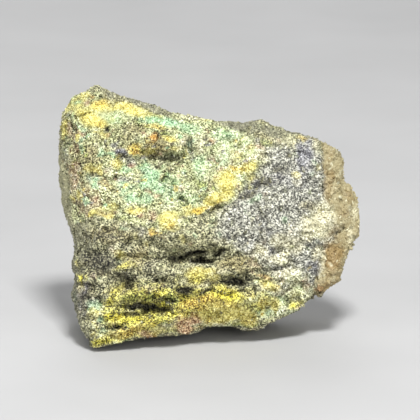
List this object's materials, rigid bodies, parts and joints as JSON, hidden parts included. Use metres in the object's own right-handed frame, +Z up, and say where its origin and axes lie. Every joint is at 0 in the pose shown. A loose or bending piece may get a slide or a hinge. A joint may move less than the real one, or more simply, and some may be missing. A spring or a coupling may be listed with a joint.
{
  "type": "pottsite mineral specimen",
  "caption": "Rough hand specimen of pottsite: broken grey rock with a drusy green and yellow crust, open clefts and a tan quartz rim, resting on its worn underside.",
  "frame": {"origin": "centre of the bounding box on the level that the stone rests on", "axes": "+Z up, -Y out of the leaning main face, +X to the right as the main face is seen"},
  "size_m": [0.0454, 0.029, 0.0364],
  "materials": {
    "crusted_rock": "rough, drusy"
  },
  "bodies": {
    "root": {"pottsite_specimen": "crusted_rock"}
  },
  "joints": []
}
